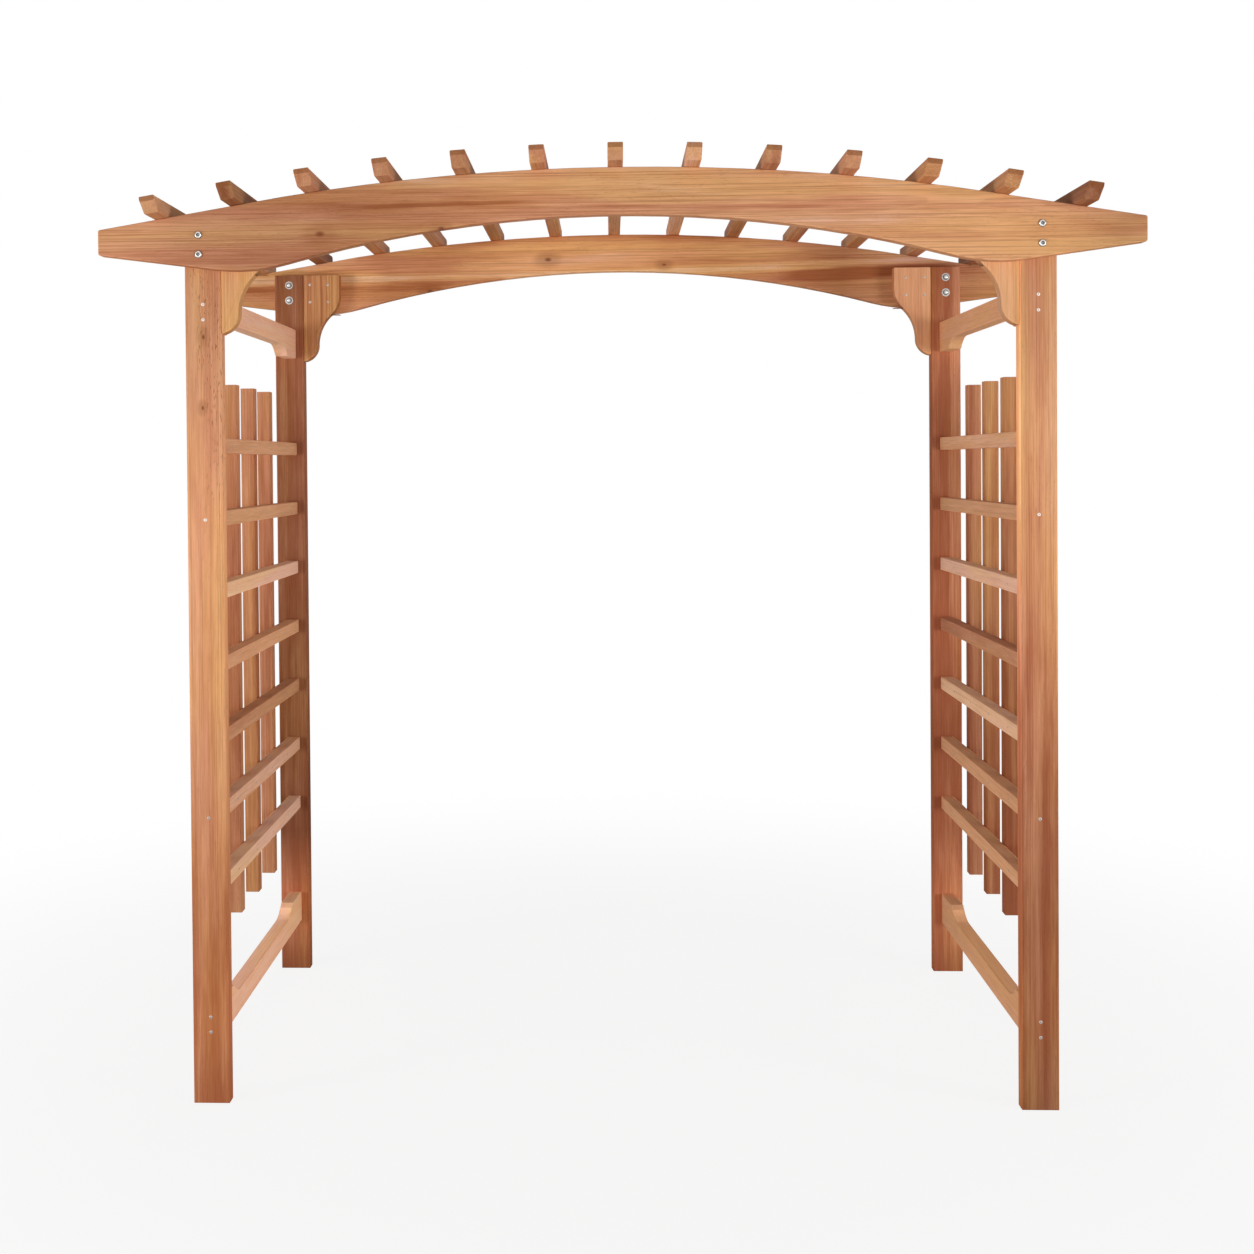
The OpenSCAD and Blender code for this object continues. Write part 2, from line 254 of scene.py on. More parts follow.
# Each noise has its scale along three axes, its detail and its roughness. In wood the axes run
# along, across and through the log, or along it and out from the pith.
NOISES = {
    "wander": ((0.8, 2.5, 2.5), 2.0, 0.45),
    "ripple": ((7.0, 40.0, 40.0), 3.0, 0.55),
    "ring width": ((1.0, 60.0, 1.0), 2.0, 0.5),
    "clear rings": ((1.4, 14.0, 14.0), 2.0, 0.5),
    "strong rings": ((0.5, 55.0, 1.0), 1.0, 0.5),
    "band": ((0.6, 38.0, 1.0), 3.0, 0.55),
    "cloud": ((0.9, 20.0, 20.0), 3.0, 0.55),
    "blotch": ((5.0, 16.0, 16.0), 2.0, 0.5),
    "tint": ((1.3, 13.0, 13.0), 3.0, 0.5),
    "streak": ((1.7, 150.0, 150.0), 3.0, 0.6),
    "thread": ((1.1, 330.0, 330.0), 2.0, 0.5),
    "fibre": ((22.0, 750.0, 750.0), 2.0, 0.6),
    "swirl": ((14.0, 30.0, 30.0), 1.0, 0.5),
    "dash": ((46.0, 400.0, 400.0), 1.0, 0.5),
    "dash patch": ((3.0, 14.0, 14.0), 1.0, 0.5),
    "pore": ((9.0, 340.0, 340.0), 2.0, 0.5),
    "short figure": ((9.0, 120.0, 120.0), 3.0, 0.6),
    "mottle": ((420.0, 420.0, 420.0), 2.0, 0.5),
    "scratch": ((300.0, 300.0, 4200.0), 2.0, 0.5),
}
# Each smooth step has where it starts and ends, and its values there if they aren't 0 and 1.
STEPS = {
    "knot size": (0.0, 1.0, 0.0015, 0.004),
    "knot halo": (9.0, 0.5),
    "ring darkens": (0.25, 0.9),
    "ring ends": (1.0, 0.92),
    "clear rings": (0.38, 0.62, 0.15, 1.0),
    "strong rings": (0.35, 0.65, 0.3, 1.0),
    "redder by band": (0.28, 0.72, -0.22, 0.22),
    "redder by cloud": (0.28, 0.72, -0.2, 0.2),
    "redder by blotch": (0.25, 0.75, -0.08, 0.08),
    "redder by short figure": (0.25, 0.75, 0.05, -0.05),
    "varied by ring strength": (0.0, 0.2, 0.4, 1.0),
    "pale to gold": (-0.6, -0.1),
    "gold to honey": (0.0, 0.5),
    "honey to red": (0.4, 1.0),
    "golden": (0.36, 0.64),
    "streak lines": (0.56, 0.72, 0.0, 1.4),
    "thread lines": (0.5, 0.64, 0.0, 1.15),
    "dashes": (0.6, 0.72, 0.0, 0.9),
    "dash patches": (0.38, 0.6),
    "dash pits": (0.66, 0.8, 0.0, 0.6),
    "paler by fibre": (0.2, 0.8, 0.93, 1.07),
    "paler by short figure": (0.25, 0.75, 0.96, 1.04),
    "paler by pore": (0.3, 0.7, 0.93, 1.07),
    "paler by wear and painted highlight": (0.0, 1.0, 1.0, 1.06),
    "painted light by face": (0.0, 1.0, 1.0, 1.6),
    "knot fibre": (0.3, 0.7, 0.0, 0.6),
    "knot surround": (0.3, 1.0, 0.0, 0.35),
    "knot": (1.5, 0.3, 0.0, 0.85),
    "knot gloss": (1.5, 0.5, 0.0, 0.12),
    "wood roughness": (0.2, 0.8, 0.62, 0.8),
    "zinc mottle": (0.35, 0.7),
    "floor turns white": (1.0, 3.4, 0.86, 1.0),
    "world front to back": (-1.0, 1.0, 1.35, 0.65),
    "world level to top": (0.1, 1.0, 1.0, 0.7),
}


def srgb(red, green, blue):
    """A colour given as 0 to 255, as the linear colour that nodes take."""
    shares = (c / BYTE for c in (red, green, blue))
    linear = [((c + SRGB_OFFSET) / (1 + SRGB_OFFSET)) ** SRGB_POWER for c in shares]
    return (*linear, 1.0)


class Graph:
    """Adds nodes to one node tree. A value may be a constant or another node's socket."""

    def __init__(self, tree):
        self.tree = tree

    def feed(self, socket, value):
        if isinstance(value, bpy.types.NodeSocket):
            self.tree.links.new(value, socket)
        else:
            socket.default_value = value

    def node(self, kind, *values, named=None, **settings):
        made = self.tree.nodes.new(kind)
        for key, value in settings.items():
            setattr(made, key, value)
        for socket, value in zip(made.inputs, values):
            self.feed(socket, value)
        for key, value in (named or {}).items():
            self.feed(made.inputs[key], value)
        return made

    def math(self, operation, *values, clamp=False):
        made = self.node("ShaderNodeMath", *values, operation=operation, use_clamp=clamp)
        return made.outputs[0]

    def chain(self, operation, first, *rest):
        """Takes each of the rest into the first, in turn."""
        for value in rest:
            first = self.math(operation, first, value)
        return first

    def plus(self, *values):
        return self.chain("ADD", *values)

    def minus(self, first, second):
        return self.math("SUBTRACT", first, second)

    def times(self, *values):
        return self.chain("MULTIPLY", *values)

    def vector(self, operation, *values):
        return self.node("ShaderNodeVectorMath", *values, operation=operation).outputs[0]

    def length(self, vector):
        return self.node("ShaderNodeVectorMath", vector, operation="LENGTH").outputs["Value"]

    def split(self, vector):
        return self.node("ShaderNodeSeparateXYZ", vector).outputs

    def join(self, *values):
        return self.node("ShaderNodeCombineXYZ", *values).outputs[0]

    def noise_outputs(self, vector, name):
        scales, detail, roughness = NOISES[name]
        stretched = self.vector("MULTIPLY", vector, scales)
        settings = {"Scale": 1.0, "Detail": detail, "Roughness": roughness}
        return self.node("ShaderNodeTexNoise", stretched, named=settings).outputs

    def noise(self, vector, name):
        return self.noise_outputs(vector, name)["Fac"]

    def drift(self, vector, name, reach):
        """A noise as an offset, which has its own reach along each axis."""
        noise = self.noise_outputs(vector, name)["Color"]
        offset = self.vector("SUBTRACT", noise, (MIDDLE_OF_NOISE,) * 3)
        return self.vector("MULTIPLY", offset, reach)

    def ramp(self, value, low, high, to_low=0.0, to_high=1.0):
        """A smooth step from to_low to to_high as the value goes from low to high."""
        made = self.node("ShaderNodeMapRange", value, low, high, to_low, to_high)
        made.interpolation_type = "SMOOTHSTEP"
        return made.outputs[0]

    def step(self, value, name):
        return self.ramp(value, *STEPS[name])

    def mix(self, factor, first, second, blend="MIX"):
        made = self.node("ShaderNodeMix", data_type="RGBA", blend_type=blend)
        self.feed(made.inputs[MIX_FACTOR], factor)
        self.feed(made.inputs[MIX_FIRST], first)
        self.feed(made.inputs[MIX_SECOND], second)
        return made.outputs[MIX_RESULT]

    def multiply(self, colour, factor):
        return self.mix(1.0, colour, factor, "MULTIPLY")

    def attribute(self, name):
        return self.node("ShaderNodeAttribute", attribute_name=name).outputs

    def bump(self, height, strength, distance):
        settings = {"Strength": strength, "Distance": distance, "Height": height}
        return self.node("ShaderNodeBump", named=settings).outputs[0]

    def seen_directly(self):
        """1 for the rays that show a surface itself: camera, glossy and transmission rays."""
        path = self.node("ShaderNodeLightPath").outputs
        rays = ("Is Camera Ray", "Is Glossy Ray", "Is Transmission Ray")
        return self.chain("MAXIMUM", *(path[ray] for ray in rays))

    def show(self, shader, output="ShaderNodeOutputMaterial"):
        self.node(output, shader.outputs[0])


def new_material(name):
    """A material with an empty node tree, and its Graph."""
    material = bpy.data.materials.new(name)
    material.use_nodes = True
    material.node_tree.nodes.clear()
    return material, Graph(material.node_tree)


# ---------------------------------------------------------------- cedar

PALE = srgb(236, 190, 152)
GOLD = srgb(230, 174, 122)
HONEY = srgb(214, 150, 106)
RED = srgb(176, 106, 70)
PINK_CAST = (1.0, 0.97, 1.12, 1.0)
GOLD_CAST = (1.0, 1.01, 0.9, 1.0)
LATEWOOD = srgb(150, 84, 48)
LINE = srgb(158, 82, 44)
FLECK = srgb(126, 70, 48)
KNOT = srgb(124, 70, 50)
END_GRAIN_AND_SHADE = srgb(148, 92, 54)

RING_WIDTH = 0.006
RING_UNEVENNESS = 4.0
# How far the pith wanders, the rings ripple and swell round a knot, clouds wave and dashes swirl.
WANDER_REACH = (0.0, 0.05, 0.05)
RIPPLE_REACH = 0.004
HALO_REACH = 0.006
WAVE_REACH = 0.02
SWIRL_REACH = (0.03, 0.02, 0.02)

# Small knots lie one to a cell. A knot is longer along the grain, and most cells have none.
KNOT_STRETCH = 0.6
KNOT_CELLS = 2.4
KNOTLESS_SHARE = 0.66
OUT_OF_REACH = 50.0

# The darker a fibre, the redder it is: the powers of its lightness in red and in blue.
RED_POWER = 0.7
BLUE_POWER = 1.35
END_GRAIN_AND_SHADE_STRENGTH = 0.6
WOOD_SPECULAR = 0.02
WORN_GLOSS = 0.06
FIBRE_HEIGHT = 0.6
RING_HEIGHT = 0.5
WOOD_BUMP = (0.35, 0.0006)


def knot_field(g, place, knots):
    """How many radii a point is from the middle of the nearest knot."""
    flat = g.vector("MULTIPLY", place, (KNOT_STRETCH, 1.0, 0.0))
    cells = g.node("ShaderNodeTexVoronoi", flat, named={"Scale": KNOT_CELLS}, feature="F1")
    chance, size, _ = g.node("ShaderNodeSeparateColor", cells.outputs["Color"]).outputs
    distance = g.math("DIVIDE", cells.outputs["Distance"], KNOT_CELLS)
    missing = g.math("LESS_THAN", chance, KNOTLESS_SHARE)
    reach = g.math("DIVIDE", distance, g.step(size, "knot size"))
    reach = g.plus(reach, g.times(missing, OUT_OF_REACH))
    for (along, across), radius in knots:
        offset = g.vector("SUBTRACT", flat, (KNOT_STRETCH * along, across, 0.0))
        reach = g.math("MINIMUM", reach, g.math("DIVIDE", g.length(offset), radius))
    return reach


def band_shift(g, along, across, bands):
    """How much redder the named bands make a point."""
    total = 0.0
    for start, end, half_width, shift in bands:
        line = g.node("ShaderNodeMapRange", along, start[0], end[0], start[1], end[1])
        distance = g.math("ABSOLUTE", g.minus(across, line.outputs[0]))
        outer, inner = BAND_OUTER_SHARE * half_width, BAND_INNER_SHARE * half_width
        share = g.ramp(distance, outer, inner, 0.0, shift)
        first, last = sorted((start[0], end[0]))
        starts = g.ramp(along, first - BAND_FADE, first + BAND_FADE)
        ends = g.ramp(along, last + BAND_FADE, last - BAND_FADE)
        total = g.plus(total, g.times(share, starts, ends))
    return total


def late_wood(g, grain, along, from_pith):
    """Rings of uneven width: pale early wood that darkens to a thin line of late wood."""
    uneven = g.times(g.noise(g.join(0.0, from_pith, 0.0), "ring width"), RING_UNEVENNESS)
    rings = g.plus(g.math("DIVIDE", from_pith, RING_WIDTH), uneven)
    phase = g.math("FRACT", rings)
    late = g.times(g.step(phase, "ring darkens"), g.step(phase, "ring ends"))
    clear = g.step(g.noise(grain, "clear rings"), "clear rings")
    strong = g.step(g.noise(g.join(along, from_pith, 0.0), "strong rings"), "strong rings")
    return g.times(late, g.times(clear, strong))


def varied_hue(g, along, from_pith, grain, cloud, short_figure, ring_strength):
    """How a board's redness varies. One with faint rings is plain in its colour too."""
    band = g.noise(g.join(along, from_pith, 0.0), "band")
    varied = g.plus(
        g.step(band, "redder by band"),
        g.step(cloud, "redder by cloud"),
        g.step(g.noise(grain, "blotch"), "redder by blotch"),
        g.step(short_figure, "redder by short figure"),
    )
    return g.times(varied, g.step(ring_strength, "varied by ring strength"))


def ground_colour(g, hue, grain, pinkness):
    """The colour of wood between its lines: pale to gold, honey and red, with a cast over it."""
    colour = g.mix(g.step(hue, "pale to gold"), PALE, GOLD)
    colour = g.mix(g.step(hue, "gold to honey"), colour, HONEY)
    colour = g.mix(g.step(hue, "honey to red"), colour, RED)
    golden = g.math("SUBTRACT", g.step(g.noise(grain, "tint"), "golden"), pinkness, clamp=True)
    return g.multiply(colour, g.mix(golden, PINK_CAST, GOLD_CAST))


def fibre_light(g, grain, fibre, short_figure):
    """The light and dark of fibres and pores."""
    paler = g.times(
        g.step(fibre, "paler by fibre"),
        g.step(short_figure, "paler by short figure"),
        g.step(g.noise(grain, "pore"), "paler by pore"),
    )
    return g.join(g.math("POWER", paler, RED_POWER), paler, g.math("POWER", paler, BLUE_POWER))


def cedar(name, knots=(), bands=()):
    """Cedar with its growth rings, colour bands, streaks, fibres and small knots.

    The attribute "grain" holds a point's place along, across and through the log, from the pith,
    "tone" the board's redness, brightness and pinkness, where the brightness is partly painted
    light and shade, and "figure" the strength of its rings, lines and flecks. On each face one
    attribute holds how squarely the face cuts across the grain, raised on the sawn curved edges of
    beams and brackets as their own darker colour and painted shade; one is 1 on an eased edge,
    which it makes paler as wear and a painted highlight; and one goes up to 1 on a face that
    painted light makes paler than its board.
    """
    material, g = new_material(name)
    grain = g.attribute("grain")["Vector"]
    redness, brightness_and_shade, pinkness = g.split(g.attribute("tone")["Vector"])
    ring_strength, line_strength, fleck_strength = g.split(g.attribute("figure")["Vector"])
    cut, worn_and_highlit, painted_light = (g.attribute(key)["Fac"] for key in ("cut", "worn_and_highlit", "painted_light"))

    # The pith wanders along the log, which draws long flames on a flat-sawn face.
    wandering = g.vector("ADD", grain, g.drift(grain, "wander", WANDER_REACH))
    along, across, through = g.split(wandering)
    knot_reach = knot_field(g, grain, knots)
    halo = g.step(knot_reach, "knot halo")
    ripple = g.minus(g.noise(grain, "ripple"), MIDDLE_OF_NOISE)
    from_pith = g.length(g.join(0.0, across, through))
    from_pith = g.plus(from_pith, g.times(ripple, RIPPLE_REACH), g.times(halo, HALO_REACH))

    # Rings and bands follow the pith; clouds, streaks, dashes and fibres follow the board.
    late = late_wood(g, grain, along, from_pith)
    cloud = g.noise(grain, "cloud")
    streak, thread = g.noise(wandering, "streak"), g.noise(grain, "thread")
    fibre = g.noise(grain, "fibre")
    dash = g.noise(g.vector("ADD", grain, g.drift(grain, "swirl", SWIRL_REACH)), "dash")
    short_figure = g.noise(wandering, "short figure")

    varied = varied_hue(g, along, from_pith, grain, cloud, short_figure, ring_strength)
    straight_along, straight_across, _ = g.split(grain)
    wave = g.times(g.minus(cloud, MIDDLE_OF_NOISE), WAVE_REACH)
    shift = band_shift(g, straight_along, g.plus(straight_across, wave), bands)
    hue = g.plus(redness, varied, shift)

    colour = ground_colour(g, hue, grain, pinkness)
    colour = g.mix(g.times(late, ring_strength), colour, LATEWOOD)
    lines = g.math("MAXIMUM", g.step(streak, "streak lines"), g.step(thread, "thread lines"))
    colour = g.mix(g.times(lines, line_strength), colour, LINE)
    patches = g.step(g.noise(grain, "dash patch"), "dash patches")
    dashes = g.times(patches, g.step(dash, "dashes"))
    colour = g.mix(g.math("MULTIPLY", dashes, fleck_strength, clamp=True), colour, FLECK)
    colour = g.multiply(colour, fibre_light(g, grain, fibre, short_figure))
    # Paler and darker: the brightness is partly painted light and shade, eased edges are paler by
    # wear and a painted highlight, and some faces by painted light.
    lighter = g.times(brightness_and_shade, g.step(worn_and_highlit, "paler by wear and painted highlight"), g.step(painted_light, "painted light by face"))
    colour = g.multiply(colour, g.join(lighter, lighter, lighter))
    knot_colour = g.mix(g.step(fibre, "knot fibre"), KNOT, LATEWOOD)
    colour = g.mix(g.step(halo, "knot surround"), colour, LATEWOOD)
    colour = g.mix(g.step(knot_reach, "knot"), colour, knot_colour)
    # End grain, and on the sawn curved edges also painted shade.
    colour = g.mix(g.times(cut, END_GRAIN_AND_SHADE_STRENGTH), colour, END_GRAIN_AND_SHADE)

    roughness = g.minus(g.step(fibre, "wood roughness"), g.step(knot_reach, "knot gloss"))
    roughness = g.minus(roughness, g.times(worn_and_highlit, WORN_GLOSS))
    height = g.plus(g.times(fibre, FIBRE_HEIGHT), g.times(late, RING_HEIGHT))
    height = g.minus(height, g.step(dash, "dash pits"))
    surface = g.node("ShaderNodeBsdfPrincipled", named={
        "Base Color": colour,
        "Roughness": roughness,
        "Specular IOR Level": WOOD_SPECULAR,
        "Normal": g.bump(height, *WOOD_BUMP),
    })
    g.show(surface)
    return material


# ---------------------------------------------------------------- zinc

# Zinc: its colour and roughness when bright, dull or tarnished, and the colour of its mottle.
METALS = {
    "bright_zinc": ((240, 240, 238), 0.26),
    "dull_zinc": ((240, 226, 216), 0.4),
    "tarnished_zinc": ((196, 172, 148), 0.5),
}
DULL_ZINC = srgb(222, 219, 214)
# The noise between which scratches show, and how much smoother and rougher they make it.
SCRATCHED = (0.3, 0.7)
SMOOTHER = 0.08
ROUGHER = 0.12
ZINC_BUMP = (0.2, 0.0001)


def zinc(name, tint, roughness):
    """Zinc plate with a faint mottle and fine scratches, darker where its painted shade, "shade",
    is low.
    """
    material, g = new_material(name)
    place = g.node("ShaderNodeTexCoord").outputs["Object"]
    scratch = g.noise(place, "scratch")
    shade = g.attribute("shade")["Fac"]
    colour = g.mix(g.step(g.noise(place, "mottle"), "zinc mottle"), tint, DULL_ZINC)
    # Painted shade in sockets, recesses and rims.
    colour = g.multiply(colour, g.join(shade, shade, shade))
    surface = g.node("ShaderNodeBsdfPrincipled", named={
        "Base Color": colour,
        "Metallic": 1.0,
        "Roughness": g.ramp(scratch, *SCRATCHED, roughness - SMOOTHER, roughness + ROUGHER),
        "Normal": g.bump(scratch, *ZINC_BUMP),
    })
    g.show(surface)
    return material


# ---------------------------------------------------------------- boards


def add_object(name, data):
    made = bpy.data.objects.new(name, data)
    bpy.context.scene.collection.objects.link(made)
    return made


def kind_of(node):
    return next(kind for kind in KINDS if node.startswith(kind))


def fill_bolt_holes(bm, bolt_axes):
    """Closes the bolts' holes, which their heads cover, so that each side is one plain face."""
    def in_hole(vert):
        return any(math.hypot(vert.co.x - x, vert.co.z - z) < radius for x, z, radius in bolt_axes)

    walls = [face for face in bm.faces if all(in_hole(v) for v in face.verts)]
    bmesh.ops.delete(bm, geom=walls, context="FACES")
    rims = [edge for edge in bm.edges if edge.is_boundary]
    bmesh.ops.holes_fill(bm, edges=rims)


def stated_tones(node, i=0):
    """The stops of a board's tone. Batten number i of its side has one tone all along."""
    side = node.split("_")[1]
    if node.startswith("battens"):
        return [(0.0, *BATTEN_TONES[side][i])]
    if node.startswith("picket"):
        return PICKET_TONES[side]
    return TONES[node]


def cut_at_stops(bm, node, grain_axis):
    """Cuts a board across the grain at each stop of its tone, so that the tone can change there."""
    reach = [vert.co.dot(grain_axis) for vert in bm.verts]
    low, high = min(reach), max(reach)
    for share, *_ in stated_tones(node):
        if 0.0 < share < 1.0:
            point = grain_axis * (low + share * (high - low))
            whole = bm.verts[:] + bm.edges[:] + bm.faces[:]
            bmesh.ops.bisect_plane(bm, geom=whole, plane_co=point, plane_no=grain_axis)


def eased_mesh(node, bolt_axes):
    """The node's mesh with its sharp edges rounded, those of end cuts less than the long ones."""
    kind = kind_of(node)
    grain_axis = KINDS[kind].grain
    square_ended = kind not in ("beam", "bracket")
    bm = bmesh.new()
    bm.from_mesh(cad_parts[node].data)
    bmesh.ops.remove_doubles(bm, verts=bm.verts, dist=WELD)
    fill_bolt_holes(bm, bolt_axes)
    bmesh.ops.dissolve_limit(bm, angle_limit=FLAT_ANGLE, verts=bm.verts, edges=bm.edges)
    cut_at_stops(bm, node, grain_axis)
    weight = bm.edges.layers.float.new("bevel_weight_edge")
    for edge in bm.edges:
        if edge.calc_face_angle(0.0) < SHARP_ANGLE:
            continue
        end_cut = any(abs(face.normal.dot(grain_axis)) > END_COSINE for face in edge.link_faces)
        edge[weight] = END_EASING_SHARE if end_cut and square_ended else 1.0
    plain = bpy.data.meshes.new(node + "_plain")
    bm.to_mesh(plain)
    bm.free()
    holder = add_object(node + "_plain", plain)
    bevel = holder.modifiers.new("easing", "BEVEL")
    bevel.limit_method = "WEIGHT"
    bevel.width = KINDS[kind].easing
    bevel.segments = EASING_STEPS
    bevel.use_clamp_overlap = False
    bpy.context.view_layer.update()
    graph = bpy.context.evaluated_depsgraph_get()
    mesh = bpy.data.meshes.new_from_object(holder.evaluated_get(graph))
    bpy.data.objects.remove(holder)
    bpy.data.meshes.remove(plain)
    return mesh


def islands(mesh):
    """The mesh's separate solids, as lists of vertex numbers."""
    parent = list(range(len(mesh.vertices)))

    def root(i):
        while parent[i] != i:
            parent[i] = parent[parent[i]]
            i = parent[i]
        return i

    for edge in mesh.edges:
        a, b = (root(i) for i in edge.vertices)
        parent[a] = b
    groups = {}
    for i in range(len(parent)):
        groups.setdefault(root(i), []).append(i)
    return sorted(groups.values(), key=lambda group: mesh.vertices[group[0]].co.z)


def wide_face_axis(mesh, grain_axis):
    """The direction through a board: the normal of its widest face along the grain."""
    sides = [f for f in mesh.polygons if abs(f.normal.dot(grain_axis)) < SIDE_COSINE]
    return max(sides, key=lambda f: round(f.area, AREA_DIGITS)).normal.copy()


class Log:
    """Where a board was sawn from its log: turns a point of the board into a place in the log."""

    def __init__(self, mesh, group, kind, sawn, chance):
        low = Vector([min(mesh.vertices[i].co[k] for i in group) for k in range(3)])
        high = Vector([max(mesh.vertices[i].co[k] for i in group) for k in range(3)])
        self.centre = (low + high) / 2
        self.along = kind.grain
        self.half_length = abs((high - low).dot(self.along)) / 2
        self.through = wide_face_axis(mesh, self.along)
        self.across = self.through.cross(self.along)
        half_width = abs((high - low).dot(self.across)) / 2
        self.start = chance.uniform(*LOG_STARTS)
        far, near = chance.uniform(*PITH_FAR), chance.uniform(*PITH_NEAR)
        side = chance.choice((-1, 1))
        quartered = chance.random() < kind.quartered
        if sawn:
            quartered = sawn == "quarter"
        self.pith_across = side * (far + half_width) if quartered else near
        self.pith_through = near if quartered else side * far

    def place(self, point):
        offset = point - self.centre
        return Vector((
            self.start + offset.dot(self.along),
            self.pith_across + offset.dot(self.across),
            self.pith_through + offset.dot(self.through),
        ))

    def share(self, point):
        """How far along the board a point is, from 0 to 1."""
        return 0.5 + 0.5 * (point - self.centre).dot(self.along) / self.half_length


def tones_of(node, i, chance):
    """The stops of board number i, counted from the lowest. Pickets differ a little in redness."""
    for _ in range(SPARE_DRAWS):
        chance.random()
    redder = chance.uniform(*PICKET_REDNESS_SPREAD) if node.startswith("picket") else 0.0
    return [(share, redness + redder, *rest) for share, redness, *rest in stated_tones(node, i)]


def between_stops(stops, share):
    """The three values at a share of the way along a board, between the stops round it."""
    before = [stop for stop in stops if stop[0] <= share] or stops[:1]
    after = [stop for stop in stops if stop[0] > share] or stops[-1:]
    low, high = before[-1], after[0]
    step = (share - low[0]) / (high[0] - low[0]) if high[0] > low[0] else 0.0
    return Vector(low[1:]).lerp(Vector(high[1:]), min(max(step, 0.0), 1.0))


def narrow(face, mesh):
    """True for a face that is only as wide as one step of an eased edge."""
    outline = [mesh.vertices[i].co for i in face.vertices]
    around = sum((a - b).length for a, b in zip(outline, outline[1:] + outline[:1]))
    return 2 * face.area / around < WORN_WIDTH


def new_attributes(mesh, kind, domain, *names):
    """New attributes of a mesh, looked up once all are made, as making one can move the others."""
    for name in names:
        mesh.attributes.new(name, kind, domain)
    return [mesh.attributes[name] for name in names]


def mark_points(mesh, node, kind):
    """Gives each point its place in its log, its tone and its figure. Returns the lowest log."""
    names = ("grain", "tone", "figure")
    grain, tone, figure = new_attributes(mesh, "FLOAT_VECTOR", "POINT", *names)
    chance = random.Random(node)
    figures = FIGURES.get(node, [(0.0, *kind.figure)])
    logs = []
    for number, group in enumerate(islands(mesh)):
        log = Log(mesh, group, kind, SAWN.get(node), chance)
        tones = tones_of(node, number, chance)
        for i in group:
            point = mesh.vertices[i].co
            grain.data[i].vector = log.place(point)
            tone.data[i].vector = between_stops(tones, log.share(point))
            figure.data[i].vector = between_stops(figures, log.share(point))
        logs.append(log)
    return logs[0]


def mark_faces(mesh, node, kind):
    """Tells each face how squarely it cuts the grain, and where painted shade, wear with a painted
    highlight, and painted light go.
    """
    cut, worn_and_highlit, painted_light = new_attributes(mesh, "FLOAT", "FACE", "cut", "worn_and_highlit", "painted_light")
    through = wide_face_axis(mesh, kind.grain)
    relief_z = max(vert.co.z for vert in mesh.vertices) - RELIEF_BELOW_LAND
    for face in mesh.polygons:
        squareness = abs(face.normal.dot(kind.grain))
        end_grain_and_shade = max(0.0, (squareness - END_GRAIN_FROM) / (1 - END_GRAIN_FROM))
        on_edge = abs(face.normal.dot(through)) < SIDE_COSINE
        # Sawn curved edges take the end grain's colour, as their own darker colour and as painted
        # shade.
        sawn_and_shaded_edge = kind_of(node) in SAWN_AND_SHADED_EDGE and on_edge
        if sawn_and_shaded_edge:
            end_grain_and_shade = max(end_grain_and_shade, SAWN_AND_SHADED_EDGE[kind_of(node)])
        cut.data[face.index].value = end_grain_and_shade
        eased = narrow(face, mesh)
        # An eased edge is paler, partly as wear and partly as a painted highlight.
        worn_and_highlit.data[face.index].value = float(eased and not sawn_and_shaded_edge)
        relief = face.normal.z > RELIEF_COSINE and face.center.z < relief_z
        # Painted light from above on the up-facing relief of a bottom rail.
        if node.startswith("bottom_rail") and relief and not eased:
            painted_light.data[face.index].value = PAINTED_LIGHT_ON_RELIEF
        # A painted highlight on the side of a front post that faces the middle.
        if face.normal.x * face.center.x < -INNER_EDGE_TURN:
            painted_light.data[face.index].value = PAINTED_HIGHLIGHT_ON_INNER_EDGES.get(node, 0.0)
        face.use_smooth = True


def add_board(node, bolt_axes):
    """A board that stands for its CAD node, with the attributes that its cedar reads."""
    kind = KINDS[kind_of(node)]
    mesh = eased_mesh(node, bolt_axes)
    mesh.name = "cedar_" + node
    log = mark_points(mesh, node, kind)
    mark_faces(mesh, node, kind)
    board = add_object("cedar_" + node, mesh)
    weighted = board.modifiers.new("flat faces stay flat", "WEIGHTED_NORMAL")
    weighted.weight = FACE_WEIGHT
    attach(board, "root")
    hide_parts(node)
    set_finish(board, kind.slot)
    return board, log


def finish_board(node, board, log, finishes):
    """Gives a board the finish of its slot, or one of its own if it has named knots or bands."""
    name = board["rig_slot"]
    knots, bands = [], []
    if node in KNOTS or node in BANDS:
        name = node + "_cedar"
        face_y = log.centre.y
        knots = [(log.place(Vector((x, face_y, z)))[0:2], r) for x, z, r in KNOTS.get(node, ())]
        for start, end, half_width, shift in BANDS.get(node, ()):
            start, end = (log.place(Vector((x, face_y, z)))[0:2] for x, z in (start, end))
            bands.append((start, end, half_width, shift))
    if name not in finishes:
        finishes[name] = cedar(name, knots, bands)
    board.data.materials.clear()
    board.data.materials.append(finishes[name])


# ---------------------------------------------------------------- bolts, screws and nails

BOLT_HEAD_H = 0.004
WASHER_R = 0.0123
WASHER_H = 0.0012
NUT_H = 0.0035
BOLT_STUB = 0.0015
SCREW_R = 0.004
NAIL_R = 0.0024
# Shares of the bolt head's radius.
SHANK_SHARE = 0.55
NUT_SHARE = 0.84
THREAD_SHARE = 0.5
RAIL_SCREW_SPREAD = 0.037
BRACKET_SCREWS_ACROSS = (0.02, 0.075)
BRACKET_SCREWS_DOWN = (0.03, 0.083)
# The heads below this height are darker.
DARKER_BELOW = 1.0
LOW_SHADE = 0.6

